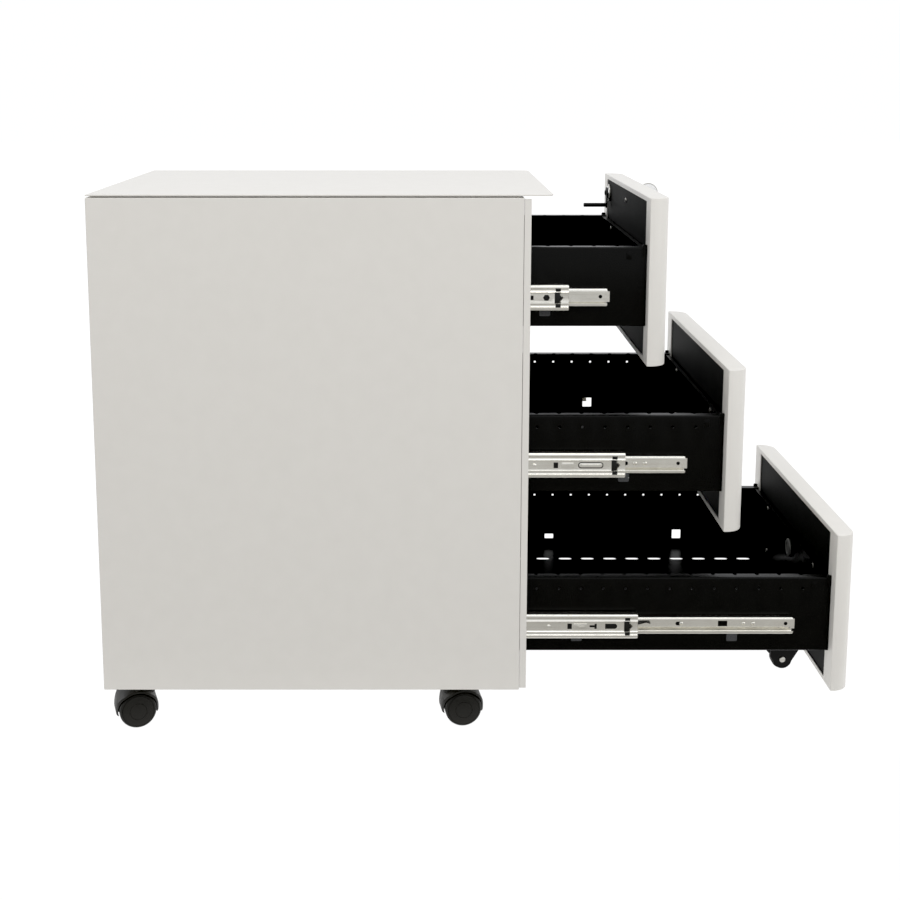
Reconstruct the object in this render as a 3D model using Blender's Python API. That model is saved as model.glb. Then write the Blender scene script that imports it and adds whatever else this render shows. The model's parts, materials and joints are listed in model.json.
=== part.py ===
"""Steel under-desk drawer unit: a three-drawer mobile pedestal on castors.

Metres, +Z up. The drawer fronts face -Y, the floor is z = 0, and the origin is
under the middle of the whole unit with its drawers standing open as modelled.
Each drawer rides on two three-part ball-bearing runners, a key lock lifts a
lock bar inside the right side panel, and an anti-tip wheel under the bottom
drawer runs on the floor.
"""
import math

import bmesh
import bpy
from mathutils import Vector

# ---- driving dimensions -------------------------------------------------------
WIDTH = 0.390
TOP_DEPTH = 0.500
HEIGHT = 0.616
SHEET = 0.0012              # steel sheet of the cabinet and the drawer fronts
GAP = 0.0003                # clearance between pieces that touch

PANEL_BOTTOM = 0.0567       # underside of the side panels
PANEL_TOP = 0.6128
PANEL_DEPTH = 0.4684
TOP_SHEET = 0.0014
TOP_CORNER = 0.010
PANEL_FLANGE = 0.020

FRONT_HEIGHT = 0.183
FRONT_PITCH = 0.187
FRONT_DEPTH = 0.022
FRONT_CORNER = 0.019
BOTTOM_FRONT_Z = 0.0552
FRONT_SETBACK = 0.001       # a closed front's face lies this far behind the top's edge
LIP = 0.028                 # return lip at the sides of a front's open back
LIP_HEIGHT = 0.0055         # the same lip above and below

BOX_HALF_WIDTH = 0.180
BOX_LENGTH = 0.428
BOX_FLOOR = 0.042           # heights above the front's lower edge
BOX_RIM = 0.129
BOX_SHEET = 0.0010

RUNNER_HEIGHT = 0.075       # runner centre above the front's lower edge
RUNNER_LENGTH = 0.400
RUNNER_SHEET = 0.0012
DRAWER_RUNNER_SETBACK = 0.040
MIDDLE_RUNNER_SETBACK = 0.037

# How far each drawer stands open, and the share of that travel its middle
# runners make.
OPENING = {"bottom": 0.343, "middle": 0.216, "top": 0.126}
MIDDLE_SHARE = {"bottom": 0.471, "middle": 0.663, "top": 0.617}
DRAWERS = ("bottom", "middle", "top")

# Runner sections: web face, lip edge and half height, measured from the middle
# of the cabinet.
DRAWER_RUNNER = (0.1803, 0.1885, 0.0100)
MIDDLE_RUNNER = (0.1912, 0.1820, 0.0145)
CABINET_RUNNER = (0.1935, 0.1830, 0.0180)

LOCK_X = 0.148
LOCK_HEIGHT = 0.1608        # above the top front's lower edge
LOCK_PIN_DROP = 0.016
LOCK_BORE = 0.0068
LOCK_BODY = 0.0090

CATCH_BACK = 0.023          # catch stud behind the front's back plane
CATCH_HEIGHT = 0.111
CATCH_RADIUS = 0.0025

PLUG_HEIGHT = 0.102
PLUG_HOLE = 0.0095

CASTOR_X = 0.151
CASTOR_TRAIL = 0.012
CASTOR_BACK_INSET = 0.0385   # swivel axis ahead of the cabinet's back
CASTOR_FRONT_INSET = 0.3925
WHEEL_RADIUS = 0.021
WHEEL_INNER = 0.0035
WHEEL_OUTER = 0.0215
CASTOR_TURN = {
    "castor_back_left": 18.0,
    "castor_back_right": -12.0,
    "castor_front_left": 188.0,
    "castor_front_right": 160.0,
}

ANTITIP_RADIUS = 0.013
ANTITIP_BACK = 0.006        # axle behind the bottom front's back plane

ROUND_STEPS = 24

# ---- places worked out from the driving dimensions -----------------------------
CLOSED_FACE = TOP_DEPTH - FRONT_SETBACK
BACK_Y = (CLOSED_FACE + OPENING["bottom"]) / 2
TOP_FRONT_Y = BACK_Y - TOP_DEPTH
PANEL_FRONT_Y = BACK_Y - PANEL_DEPTH
CLOSED_Y = BACK_Y - CLOSED_FACE + FRONT_DEPTH   # back plane of a closed front
HALF = WIDTH / 2
INNER_X = HALF - SHEET
FRONT_Z = {name: BOTTOM_FRONT_Z + i * FRONT_PITCH for i, name in enumerate(DRAWERS)}
PAN_BOTTOM = PANEL_BOTTOM + SHEET + GAP
LOCK_BAR_Y = CLOSED_Y + 0.0149                  # front edge of the lock bar


# ---- building helpers ----------------------------------------------------------
def clear_scene():
    for item in list(bpy.data.objects):
        bpy.data.objects.remove(item, do_unlink=True)


def make_material(name, colour, roughness, metallic=0.0):
    material = bpy.data.materials.new(name)
    material.use_nodes = True
    shader = material.node_tree.nodes["Principled BSDF"]
    shader.inputs["Base Color"].default_value = (*colour, 1.0)
    shader.inputs["Roughness"].default_value = roughness
    shader.inputs["Metallic"].default_value = metallic
    return material


def arc(centre, radius, start, end, steps):
    """Points along an arc, angles in degrees, both ends included."""
    points = []
    for i in range(steps + 1):
        angle = math.radians(start + (end - start) * i / steps)
        points.append((centre[0] + radius * math.cos(angle), centre[1] + radius * math.sin(angle)))
    return points


def rectangle(low, high):
    return [(low[0], low[1]), (high[0], low[1]), (high[0], high[1]), (low[0], high[1])]


def on_axis(axis, u, v, w):
    """The 3-D point of outline point (u, v) at distance w along axis."""
    if axis == "X":
        return (w, u, v)
    if axis == "Y":
        return (u, w, v)
    return (u, v, w)


def prism(outline, axis, low, high):
    """An outline extruded along an axis: (y, z) for X, (x, z) for Y, (x, y) for Z."""
    bm = bmesh.new()
    near = [bm.verts.new(on_axis(axis, u, v, low)) for u, v in outline]
    far = [bm.verts.new(on_axis(axis, u, v, high)) for u, v in outline]
    bm.faces.new(near)
    bm.faces.new(far)
    for i in range(len(outline)):
        j = (i + 1) % len(outline)
        bm.faces.new((near[i], near[j], far[j], far[i]))
    bmesh.ops.recalc_face_normals(bm, faces=bm.faces)
    return bm


def block(low, high):
    return prism(rectangle(low[:2], high[:2]), "Z", low[2], high[2])


def rod(axis, centre, radius, low, high, steps=ROUND_STEPS):
    return prism(arc(centre, radius, 0, 360, steps)[:-1], axis, low, high)


def turned(profile, axis, centre=(0.0, 0.0), steps=ROUND_STEPS):
    """A profile of (radius, distance) points turned about an axis through centre.

    The profile either starts and ends on the axis or is a closed ring.
    """
    bm = bmesh.new()
    rings = []
    for radius, along in profile:
        if radius == 0:
            rings.append([bm.verts.new(on_axis(axis, *centre, along))] * steps)
        else:
            points = arc(centre, radius, 0, 360, steps)[:-1]
            rings.append([bm.verts.new(on_axis(axis, u, v, along)) for u, v in points])
    is_ring = profile[0][0] > 0
    for i in range(len(rings) if is_ring else len(rings) - 1):
        inner, outer = rings[i], rings[(i + 1) % len(rings)]
        for k in range(steps):
            m = (k + 1) % steps
            corners = (inner[k], inner[m], outer[m], outer[k])
            bm.faces.new(list(dict.fromkeys(corners)))
    bmesh.ops.recalc_face_normals(bm, faces=bm.faces)
    return bm


def pan(low, high, wall, opening):
    """A sheet pan: a block hollowed from the side that the opening vector names."""
    bm = block(low, high)
    direction = Vector(opening)
    mouth = max(bm.faces, key=lambda face: face.normal.dot(direction))
    depth = abs((Vector(high) - Vector(low)).dot(direction)) - wall
    bmesh.ops.inset_region(bm, faces=[mouth], thickness=wall, use_even_offset=True)
    bmesh.ops.inset_region(bm, faces=[mouth], thickness=0.0, depth=-depth)
    return bm


def as_object(name, bm):
    mesh = bpy.data.meshes.new(name)
    bm.to_mesh(mesh)
    bm.free()
    item = bpy.data.objects.new(name, mesh)
    bpy.context.scene.collection.objects.link(item)
    return item


def carved(base, *steps):
    """The bmesh left after each (operation, tool) Boolean step in turn."""
    body = as_object("carved_body", base)
    tools = []
    for operation, tool_mesh in steps:
        tool = as_object("carving_tool", tool_mesh)
        modifier = body.modifiers.new("step", "BOOLEAN")
        modifier.operation = operation
        modifier.solver = "EXACT"
        modifier.object = tool
        tools.append(tool)
    bpy.context.view_layer.update()
    graph = bpy.context.evaluated_depsgraph_get()
    mesh = bpy.data.meshes.new_from_object(body.evaluated_get(graph))
    result = bmesh.new()
    result.from_mesh(mesh)
    bmesh.ops.remove_doubles(result, verts=result.verts, dist=0.00001)
    bmesh.ops.dissolve_degenerate(result, edges=result.edges, dist=0.00001)
    for item in [body, *tools]:
        bpy.data.objects.remove(item, do_unlink=True)
    bpy.data.meshes.remove(mesh)
    return result


def piece(name, bm, material, parent=None, smooth=False):
    item = as_object(name, bm)
    item.data.materials.append(material)
    item.parent = parent
    if smooth:
        item.data.shade_smooth()
        item.data.set_sharp_from_angle(angle=math.radians(35))
    return item


def origin(name, location, parent=None, turn=0.0):
    """An empty that marks where a moving group hangs."""
    marker = bpy.data.objects.new(name, None)
    marker.location = location
    marker.rotation_euler = (0.0, 0.0, math.radians(turn))
    marker.parent = parent
    bpy.context.scene.collection.objects.link(marker)
    return marker


# ---- cabinet -------------------------------------------------------------------
def top_plate(white):
    corner_y = TOP_FRONT_Y + TOP_CORNER
    corner_x = HALF - TOP_CORNER
    outline = [(-HALF, BACK_Y)]
    outline += arc((-corner_x, corner_y), TOP_CORNER, 180, 270, 6)
    outline += arc((corner_x, corner_y), TOP_CORNER, 270, 360, 6)
    outline += [(HALF, BACK_Y)]
    plate = prism(outline, "Z", HEIGHT - TOP_SHEET, HEIGHT)
    spacer_inset = 0.005
    spacer = block(
        (-HALF + spacer_inset, PANEL_FRONT_Y + spacer_inset, PANEL_TOP + GAP),
        (HALF - spacer_inset, BACK_Y - spacer_inset, HEIGHT - TOP_SHEET / 2),
    )
    piece("top_plate", carved(plate, ("UNION", spacer)), white)


def side_panel(side, white):
    """A sheet with a flange turned inward along its upper and lower edges."""
    name = "side_panel_left" if side < 0 else "side_panel_right"
    flange = HALF - PANEL_FLANGE
    outline = [
        (side * HALF, PANEL_BOTTOM), (side * flange, PANEL_BOTTOM),
        (side * flange, PANEL_BOTTOM + SHEET), (side * INNER_X, PANEL_BOTTOM + SHEET),
        (side * INNER_X, PANEL_TOP - SHEET), (side * flange, PANEL_TOP - SHEET),
        (side * flange, PANEL_TOP), (side * HALF, PANEL_TOP),
    ]
    piece(name, prism(outline, "Y", PANEL_FRONT_Y, BACK_Y), white)


def front_post(side, white):
    """The narrow strip along the front edge of a side panel."""
    name = "front_post_left" if side < 0 else "front_post_right"
    inner, outer = 0.1922, 0.1944
    low_x, high_x = sorted((side * inner, side * outer))
    depth = 0.0075
    low_y = PANEL_FRONT_Y - GAP - depth
    piece(name, block((low_x, low_y, 0.059), (high_x, low_y + depth, 0.6115)), white)


def back_panel(white):
    flange = 0.012
    low = (-INNER_X + GAP, BACK_Y - flange, PAN_BOTTOM)
    high = (INNER_X - GAP, BACK_Y - GAP, PANEL_TOP - SHEET - GAP)
    piece("back_panel", pan(low, high, SHEET, (0, -1, 0)), white)


def base_pan(white):
    edge = 0.012
    low = (-INNER_X + GAP, PANEL_FRONT_Y + 0.002, PAN_BOTTOM)
    high = (INNER_X - GAP, BACK_Y - edge - GAP, PAN_BOTTOM + edge)
    piece("base_pan", pan(low, high, SHEET, (0, 0, 1)), white)


def runner(section, side, front_y, centre_z):
    """A channel-shaped runner member, open towards its lip edge."""
    web, lip, half_height = section
    wall = RUNNER_SHEET if lip > web else -RUNNER_SHEET
    outline = [
        (web, -half_height), (lip, -half_height), (lip, -half_height + RUNNER_SHEET),
        (web + wall, -half_height + RUNNER_SHEET), (web + wall, half_height - RUNNER_SHEET),
        (lip, half_height - RUNNER_SHEET), (lip, half_height), (web, half_height),
    ]
    placed = [(side * x, centre_z + z) for x, z in outline]
    return prism(placed, "Y", front_y, front_y + RUNNER_LENGTH)


def cabinet_runners(zinc):
    front_y = CLOSED_Y + MIDDLE_RUNNER_SETBACK - 0.004
    for name in DRAWERS:
        for side, hand in ((-1, "left"), (1, "right")):
            member = runner(CABINET_RUNNER, side, front_y, FRONT_Z[name] + RUNNER_HEIGHT)
            piece(f"{name}_cabinet_runner_{hand}", member, zinc)


# ---- drawers -------------------------------------------------------------------
def front_outline(inset):
    """Plan of a drawer front, its two outer corners rounded."""
    radius = FRONT_CORNER - inset
    x = HALF - FRONT_CORNER
    y = FRONT_CORNER - FRONT_DEPTH
    outline = [(-HALF + inset, -inset)]
    outline += arc((-x, y), radius, 180, 270, 6)
    outline += arc((x, y), radius, 270, 360, 6)
    outline += [(HALF - inset, -inset)]
    return outline


def lock_opening():
    """The round hole for the lock through a front and its liner."""
    return rod("Y", (LOCK_X, LOCK_HEIGHT), LOCK_BODY + GAP, -0.030, 0.010)


def drawer_front(name, white, parent):
    skin = prism(front_outline(0.0), "Z", 0.0, FRONT_HEIGHT)
    hollow = prism(front_outline(SHEET), "Z", SHEET, FRONT_HEIGHT - SHEET)
    window_x = HALF - LIP
    window = block(
        (-window_x, -2 * SHEET, LIP_HEIGHT), (window_x, 2 * SHEET, FRONT_HEIGHT - LIP_HEIGHT)
    )
    steps = [("DIFFERENCE", hollow), ("DIFFERENCE", window)]
    if name == "top":
        steps.append(("DIFFERENCE", lock_opening()))
    piece(f"{name}_drawer_front", carved(skin, *steps), white, parent, smooth=True)


def drawer_liner(name, black, parent):
    margin = 0.0025
    plate = block(
        (-BOX_HALF_WIDTH, -0.0027, margin), (BOX_HALF_WIDTH, -0.0015, FRONT_HEIGHT - margin)
    )
    if name == "top":
        plate = carved(plate, ("DIFFERENCE", lock_opening()))
    piece(f"{name}_drawer_liner", plate, black, parent)


def drawer_box(name, black, parent):
    """An open steel box with the catch stud that the lock bar's hook holds."""
    tub = pan(
        (-BOX_HALF_WIDTH, GAP, BOX_FLOOR), (BOX_HALF_WIDTH, BOX_LENGTH, BOX_RIM),
        BOX_SHEET, (0, 0, 1),
    )
    stud_end = BOX_HALF_WIDTH + 0.007
    stud = rod("X", (CATCH_BACK, CATCH_HEIGHT), CATCH_RADIUS, BOX_HALF_WIDTH - 0.0005, stud_end, 12)
    steps = [("UNION", stud)]
    if name == "bottom":
        steps.append(("DIFFERENCE", rod("Y", (0.0, PLUG_HEIGHT), PLUG_HOLE, -0.002, 0.003)))
    piece(f"{name}_drawer_box", carved(tub, *steps), black, parent)


def drawer_runners(name, zinc, parent):
    for side, hand in ((-1, "left"), (1, "right")):
        member = runner(DRAWER_RUNNER, side, DRAWER_RUNNER_SETBACK, RUNNER_HEIGHT)
        piece(f"{name}_drawer_runner_{hand}", member, zinc, parent)


def middle_runners(name, zinc):
    travel = OPENING[name] * MIDDLE_SHARE[name]
    place = (0.0, CLOSED_Y + MIDDLE_RUNNER_SETBACK - travel, FRONT_Z[name] + RUNNER_HEIGHT)
    carrier = origin(f"origin_{name}_middle_runners", place)
    for side, hand in ((-1, "left"), (1, "right")):
        member = runner(MIDDLE_RUNNER, side, 0.0, 0.0)
        piece(f"{name}_middle_runner_{hand}", member, zinc, carrier)


def hole_plug(grey, parent):
    """The blanking plug in the front wall of the bottom drawer's box."""
    head, spigot = 0.0115, PLUG_HOLE - GAP
    wall_face = GAP + BOX_SHEET + GAP
    profile = [
        (0.0, -0.0010), (spigot, -0.0010), (spigot, wall_face),
        (head, wall_face), (head, wall_face + 0.0010), (head - 0.0012, wall_face + 0.0018),
        (0.0, wall_face + 0.0018),
    ]
    piece("hole_plug", turned(profile, "Y", (0.0, PLUG_HEIGHT)), grey, parent, smooth=True)


def drawer(name, looks):
    place = (0.0, CLOSED_Y - OPENING[name], FRONT_Z[name])
    carrier = origin(f"origin_{name}_drawer", place)
    drawer_front(name, looks["white"], carrier)
    drawer_liner(name, looks["black"], carrier)
    drawer_box(name, looks["black"], carrier)
    drawer_runners(name, looks["zinc"], carrier)
    middle_runners(name, looks["zinc"])
    return carrier


# ---- lock ----------------------------------------------------------------------
def lock(looks, top_drawer):
    """Housing, turning plug with its key, and the cam pin that lifts the lock bar."""
    axis = origin("origin_lock", (LOCK_X, 0.0, LOCK_HEIGHT), top_drawer)
    face = -FRONT_DEPTH - GAP
    flange_front = face - 0.0020
    back = 0.0016
    housing = [
        (LOCK_BORE, flange_front), (0.0115, flange_front), (0.0120, flange_front + 0.0008),
        (0.0120, face), (LOCK_BODY, face), (LOCK_BODY, back), (LOCK_BORE, back),
    ]
    piece("lock_housing", turned(housing, "Y"), looks["chrome"], axis, smooth=True)

    plug_front = flange_front - GAP
    plug_back = back + GAP
    plug_radius = LOCK_BORE - GAP
    plug = turned(
        [(0.0, plug_front), (plug_radius, plug_front), (plug_radius, plug_back), (0.0, plug_back)],
        "Y",
    )
    blade_half_height = 0.0034
    keyway = block(
        (-0.0012, plug_front - 0.001, -blade_half_height - GAP),
        (0.0012, -0.0030, blade_half_height + GAP),
    )
    piece("lock_plug", carved(plug, ("DIFFERENCE", keyway)), looks["chrome"], axis, smooth=True)

    bow_radius = 0.0125
    bow_y = -FRONT_DEPTH - 0.029
    neck = math.degrees(math.asin(blade_half_height / bow_radius))
    outline = arc((bow_y, 0.0), bow_radius, neck, 360 - neck, 22)
    outline += [(-0.0045, -blade_half_height), (-0.0045, blade_half_height)]
    ring_hole = rod("X", (bow_y - 0.005, 0.0), 0.0035, -0.002, 0.002, 16)
    key = carved(prism(outline, "X", -0.0009, 0.0009), ("DIFFERENCE", ring_hole))
    piece("lock_key", key, looks["chrome"], axis)

    arm_front = plug_back + GAP
    arm_back = arm_front + 0.0020
    arm = arc((0.0, 0.0), 0.0070, 0, 180, 10) + arc((0.0, -LOCK_PIN_DROP), 0.0040, 180, 360, 8)
    pin = rod("Y", (0.0, -LOCK_PIN_DROP), 0.0025, arm_front + 0.0010, 0.033, 12)
    cam = carved(prism(arm, "Y", arm_front, arm_back), ("UNION", pin))
    piece("lock_cam", cam, looks["black"], axis)


def lock_bar(black):
    """The sliding bar beside the right side panel, with one hook for each drawer."""
    lock_z = FRONT_Z["top"] + LOCK_HEIGHT
    pin_z = lock_z - LOCK_PIN_DROP
    strip_low_x, strip_high_x = 0.1919, 0.1934
    strip_width = 0.016
    thickness = 0.0015
    arm_z = (pin_z - 0.0110, pin_z + 0.0070)
    strip = block(
        (strip_low_x, LOCK_BAR_Y, 0.146), (strip_high_x, LOCK_BAR_Y + strip_width, arm_z[1])
    )
    arm_y = LOCK_BAR_Y + 0.006
    arm = block((0.124, arm_y, arm_z[0]), (strip_high_x - 0.0002, arm_y + thickness, arm_z[1]))
    slot_low = (LOCK_X - LOCK_PIN_DROP - 0.0031, arm_y - 0.001, pin_z - 0.0063)
    slot_high = (LOCK_X + 0.0031, arm_y + 0.003, pin_z + 0.0029)
    steps = [("UNION", arm), ("DIFFERENCE", block(slot_low, slot_high))]
    for name in DRAWERS:
        hook_z = FRONT_Z[name] + CATCH_HEIGHT - 0.018
        hook = block(
            (0.183, LOCK_BAR_Y + 0.0004, hook_z),
            (strip_high_x - 0.0004, LOCK_BAR_Y + 0.0034, hook_z + 0.0115),
        )
        steps.append(("UNION", hook))
    piece("lock_bar", carved(strip, *steps), black)


# ---- castors and anti-tip wheel --------------------------------------------------
def castor_hood_mesh():
    """Fender over two wheels, with the boss that turns on the stem and the axle."""
    axle = (CASTOR_TRAIL, WHEEL_RADIUS)
    fender = arc(axle, 0.0244, -13, 193, 20)
    half_width = 0.0225
    body = prism(fender, "X", -half_width, half_width)
    round_plan = rod("Z", (0.0, CASTOR_TRAIL), 0.0262, 0.0, 0.070, 32)
    well_radius = WHEEL_RADIUS + 0.0012
    web = WHEEL_INNER - 0.0005
    steps = [
        ("INTERSECT", round_plan),
        ("UNION", rod("Z", (0.0, 0.0), 0.0100, 0.036, 0.0520)),
    ]
    for side in (-1, 1):
        low, high = sorted((side * web, side * (half_width + 0.002)))
        steps.append(("DIFFERENCE", rod("X", axle, well_radius, low, high, 32)))
    steps.append(("DIFFERENCE", rod("Z", (0.0, 0.0), 0.0044, 0.0412, 0.060, 16)))
    steps.append(("UNION", rod("X", axle, 0.0030, -0.0180, 0.0180, 16)))
    return carved(body, *steps)


def wheel_mesh(side):
    profile = [
        (0.0, 0.0183), (0.0033, 0.0183), (0.0033, WHEEL_INNER), (0.0195, WHEEL_INNER),
        (WHEEL_RADIUS, 0.0055), (WHEEL_RADIUS, 0.0175), (0.0185, 0.0205),
        (0.0120, WHEEL_OUTER), (0.0, WHEEL_OUTER),
    ]
    return turned([(radius, side * x) for radius, x in profile], "X")


def castor(name, side, y, looks):
    """A stem under the base, a swivelling hood and two wheels that turn apart."""
    place = (side * CASTOR_X, y, 0.0)
    stem = turned(
        [(0.0, 0.0416), (0.0041, 0.0416), (0.0041, 0.0540), (0.0160, 0.0545),
         (0.0160, PAN_BOTTOM - GAP), (0.0, PAN_BOTTOM - GAP)],
        "Z",
    )
    fixed = origin(f"origin_{name}_stem", place)
    piece(f"{name}_stem", stem, looks["zinc"], fixed, smooth=True)
    swivel = origin(f"origin_{name}", place, turn=CASTOR_TURN[name])
    piece(f"{name}_hood", castor_hood_mesh(), looks["nylon"], swivel, smooth=True)
    axle = origin(f"origin_{name}_axle", (0.0, CASTOR_TRAIL, WHEEL_RADIUS), swivel)
    for wheel_side, hand in ((-1, "a"), (1, "b")):
        piece(f"{name}_wheel_{hand}", wheel_mesh(wheel_side), looks["nylon"], axle, smooth=True)


def castors(looks):
    for hand, side in (("left", -1), ("right", 1)):
        castor(f"castor_back_{hand}", side, BACK_Y - CASTOR_BACK_INSET, looks)
        castor(f"castor_front_{hand}", side, BACK_Y - CASTOR_FRONT_INSET, looks)


def antitip_wheel(looks, bottom_drawer):
    """A small wheel in a bracket under the bottom front, just touching the floor."""
    axle_z = ANTITIP_RADIUS
    marker = origin("origin_antitip", (0.0, ANTITIP_BACK, -BOTTOM_FRONT_Z), bottom_drawer)
    top = BOTTOM_FRONT_Z - GAP
    cheek = arc((0.0, axle_z), 0.0118, 190, 360, 12)
    cheek += [(0.0155, axle_z + 0.004), (0.0155, top), (-0.0235, top), (-0.0235, 0.031)]
    outer = 0.0098
    inner = outer - 0.0015
    channel = block((-inner, -0.04, -0.01), (inner, 0.04, top - 0.0015))
    axle_hole = rod("X", (0.0, axle_z), 0.0028, -0.02, 0.02, 16)
    bracket = carved(
        prism(cheek, "X", -outer, outer), ("DIFFERENCE", channel), ("DIFFERENCE", axle_hole)
    )
    piece("antitip_bracket", bracket, looks["black"], marker)

    head = outer + GAP
    rivet = [
        (0.0, -head - 0.0013), (0.0030, -head - 0.0013), (0.0038, -head - 0.0006), (0.0038, -head),
        (0.0025, -head), (0.0025, head), (0.0038, head), (0.0038, head + 0.0006),
        (0.0030, head + 0.0013), (0.0, head + 0.0013),
    ]
    hub = origin("origin_antitip_axle", (0.0, 0.0, axle_z), marker)
    piece("antitip_axle", turned(rivet, "X", steps=16), looks["zinc"], hub, smooth=True)
    tyre = [
        (0.0028, -0.0070), (0.0115, -0.0070), (ANTITIP_RADIUS, -0.0055),
        (ANTITIP_RADIUS, 0.0055), (0.0115, 0.0070), (0.0028, 0.0070),
    ]
    piece("antitip_wheel", turned(tyre, "X"), looks["nylon"], hub, smooth=True)


# ---- the whole unit --------------------------------------------------------------
def main():
    clear_scene()
    looks = {
        "white": make_material("white_powder_coat", (0.76, 0.745, 0.71), 0.45),
        "black": make_material("black_powder_coat", (0.006, 0.006, 0.005), 0.50),
        "zinc": make_material("zinc_plate", (0.62, 0.60, 0.55), 0.30, 1.0),
        "chrome": make_material("chrome", (0.72, 0.72, 0.72), 0.12, 1.0),
        "nylon": make_material("black_nylon", (0.012, 0.011, 0.009), 0.45),
        "grey": make_material("grey_plastic", (0.16, 0.16, 0.15), 0.50),
    }
    top_plate(looks["white"])
    for side in (-1, 1):
        side_panel(side, looks["white"])
        front_post(side, looks["white"])
    back_panel(looks["white"])
    base_pan(looks["white"])
    cabinet_runners(looks["zinc"])
    carriers = {name: drawer(name, looks) for name in DRAWERS}
    hole_plug(looks["grey"], carriers["bottom"])
    lock(looks, carriers["top"])
    lock_bar(looks["black"])
    castors(looks)
    antitip_wheel(looks, carriers["bottom"])


main()
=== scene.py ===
"""Visual model of a steel drawer pedestal on castors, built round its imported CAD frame.

Metres, +Z up, drawer fronts towards -Y. Every piece stands where its CAD node
stands and rides on that node's body.
"""
import json
import math

import bmesh
import bpy
from mathutils import Matrix, Vector


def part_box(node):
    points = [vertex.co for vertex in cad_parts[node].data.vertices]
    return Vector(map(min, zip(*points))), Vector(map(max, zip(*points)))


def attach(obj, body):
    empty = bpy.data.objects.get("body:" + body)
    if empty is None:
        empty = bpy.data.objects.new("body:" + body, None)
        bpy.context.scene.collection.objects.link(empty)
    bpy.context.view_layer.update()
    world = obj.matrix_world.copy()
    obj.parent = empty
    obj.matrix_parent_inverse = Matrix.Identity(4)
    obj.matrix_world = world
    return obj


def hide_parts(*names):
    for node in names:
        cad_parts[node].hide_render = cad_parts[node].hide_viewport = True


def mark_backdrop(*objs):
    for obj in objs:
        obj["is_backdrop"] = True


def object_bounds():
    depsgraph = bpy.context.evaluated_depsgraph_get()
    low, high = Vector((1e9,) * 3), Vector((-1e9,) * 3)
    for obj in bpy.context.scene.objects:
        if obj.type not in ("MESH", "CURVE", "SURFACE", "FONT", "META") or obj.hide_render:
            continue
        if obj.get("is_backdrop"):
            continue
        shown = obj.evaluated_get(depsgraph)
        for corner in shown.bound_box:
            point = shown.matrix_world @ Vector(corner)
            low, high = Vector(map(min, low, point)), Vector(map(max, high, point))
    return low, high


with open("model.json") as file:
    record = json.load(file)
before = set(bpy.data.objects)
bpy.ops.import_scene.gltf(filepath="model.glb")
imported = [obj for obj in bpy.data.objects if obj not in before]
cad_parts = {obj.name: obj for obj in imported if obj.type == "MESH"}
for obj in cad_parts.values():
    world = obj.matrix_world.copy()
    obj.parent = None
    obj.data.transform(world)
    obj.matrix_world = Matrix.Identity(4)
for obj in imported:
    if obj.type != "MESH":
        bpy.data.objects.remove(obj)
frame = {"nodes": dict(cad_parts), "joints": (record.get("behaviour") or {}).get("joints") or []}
cad_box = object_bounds()

MM = 0.001
DRAWERS = ("bottom", "middle", "top")
HANDS = (("left", -1), ("right", 1))
SHEET = 1.2 * MM             # cabinet and front steel
BOX_SHEET = 1.0 * MM         # drawer box steel
BACK_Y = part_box("top_plate")[1].y
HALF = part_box("top_plate")[1].x
SHARP = math.radians(30)     # an edge bent by more than this is rounded


# ---- outlines and meshes -------------------------------------------------------
def arc(centre, radius, start, end, steps):
    """Points along an arc, angles in degrees, both ends included."""
    angles = [math.radians(start + (end - start) * i / steps) for i in range(steps + 1)]
    return [(centre[0] + radius * math.cos(a), centre[1] + radius * math.sin(a)) for a in angles]


def circle(centre, radius, steps=24, start=0.0):
    return arc(centre, radius, start, start + 360, steps)[:-1]


def rectangle(low, high):
    return [(low[0], low[1]), (high[0], low[1]), (high[0], high[1]), (low[0], high[1])]


def slot_shape(centre, length, width, steps=8):
    """A slot with round ends, long in its first coordinate."""
    reach, r = (length - width) / 2, width / 2
    u, v = centre
    return arc((u + reach, v), r, -90, 90, steps) + arc((u - reach, v), r, 90, 270, steps)


def fillet(points, radius, steps=5, closed=False):
    """A polyline with its inner corners rounded."""
    count = len(points)
    out = [] if closed else [points[0]]
    for i in range(count) if closed else range(1, count - 1):
        p = Vector(points[i])
        a, b = Vector(points[i - 1]) - p, Vector(points[(i + 1) % count]) - p
        half = a.angle(b) / 2
        if half > math.radians(88):
            out.append(tuple(p))
            continue
        cut = min(radius / math.tan(half), a.length * 0.49, b.length * 0.49)
        r = cut * math.tan(half)
        centre = p + (a.normalized() + b.normalized()).normalized() * (r / math.sin(half))
        first, last = p + a.normalized() * cut - centre, p + b.normalized() * cut - centre
        sweep = first.angle_signed(last)
        for k in range(steps + 1):
            turned_by = Matrix.Rotation(-sweep * k / steps, 2)
            out.append(tuple(centre + turned_by @ first))
    return out if closed else [*out, points[-1]]


def thick(path, wall):
    """The closed outline of a folded sheet, its other face wall to the left of the path."""
    points = [Vector(p) for p in path]
    other = []
    for i, p in enumerate(points):
        sides = []
        if i > 0:
            sides.append((p - points[i - 1]).normalized())
        if i < len(points) - 1:
            sides.append((points[i + 1] - p).normalized())
        normals = [Vector((-d.y, d.x)) for d in sides]
        mitre = sum(normals, Vector((0.0, 0.0))).normalized()
        other.append(tuple(p + mitre * (wall / max(mitre.dot(normals[0]), 0.3))))
    return [*path, *reversed(other)]


def on_axis(axis, u, v, w):
    """The 3-D point of outline point (u, v) at distance w along axis."""
    return {"X": (w, u, v), "Y": (u, w, v), "Z": (u, v, w)}[axis]


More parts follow.
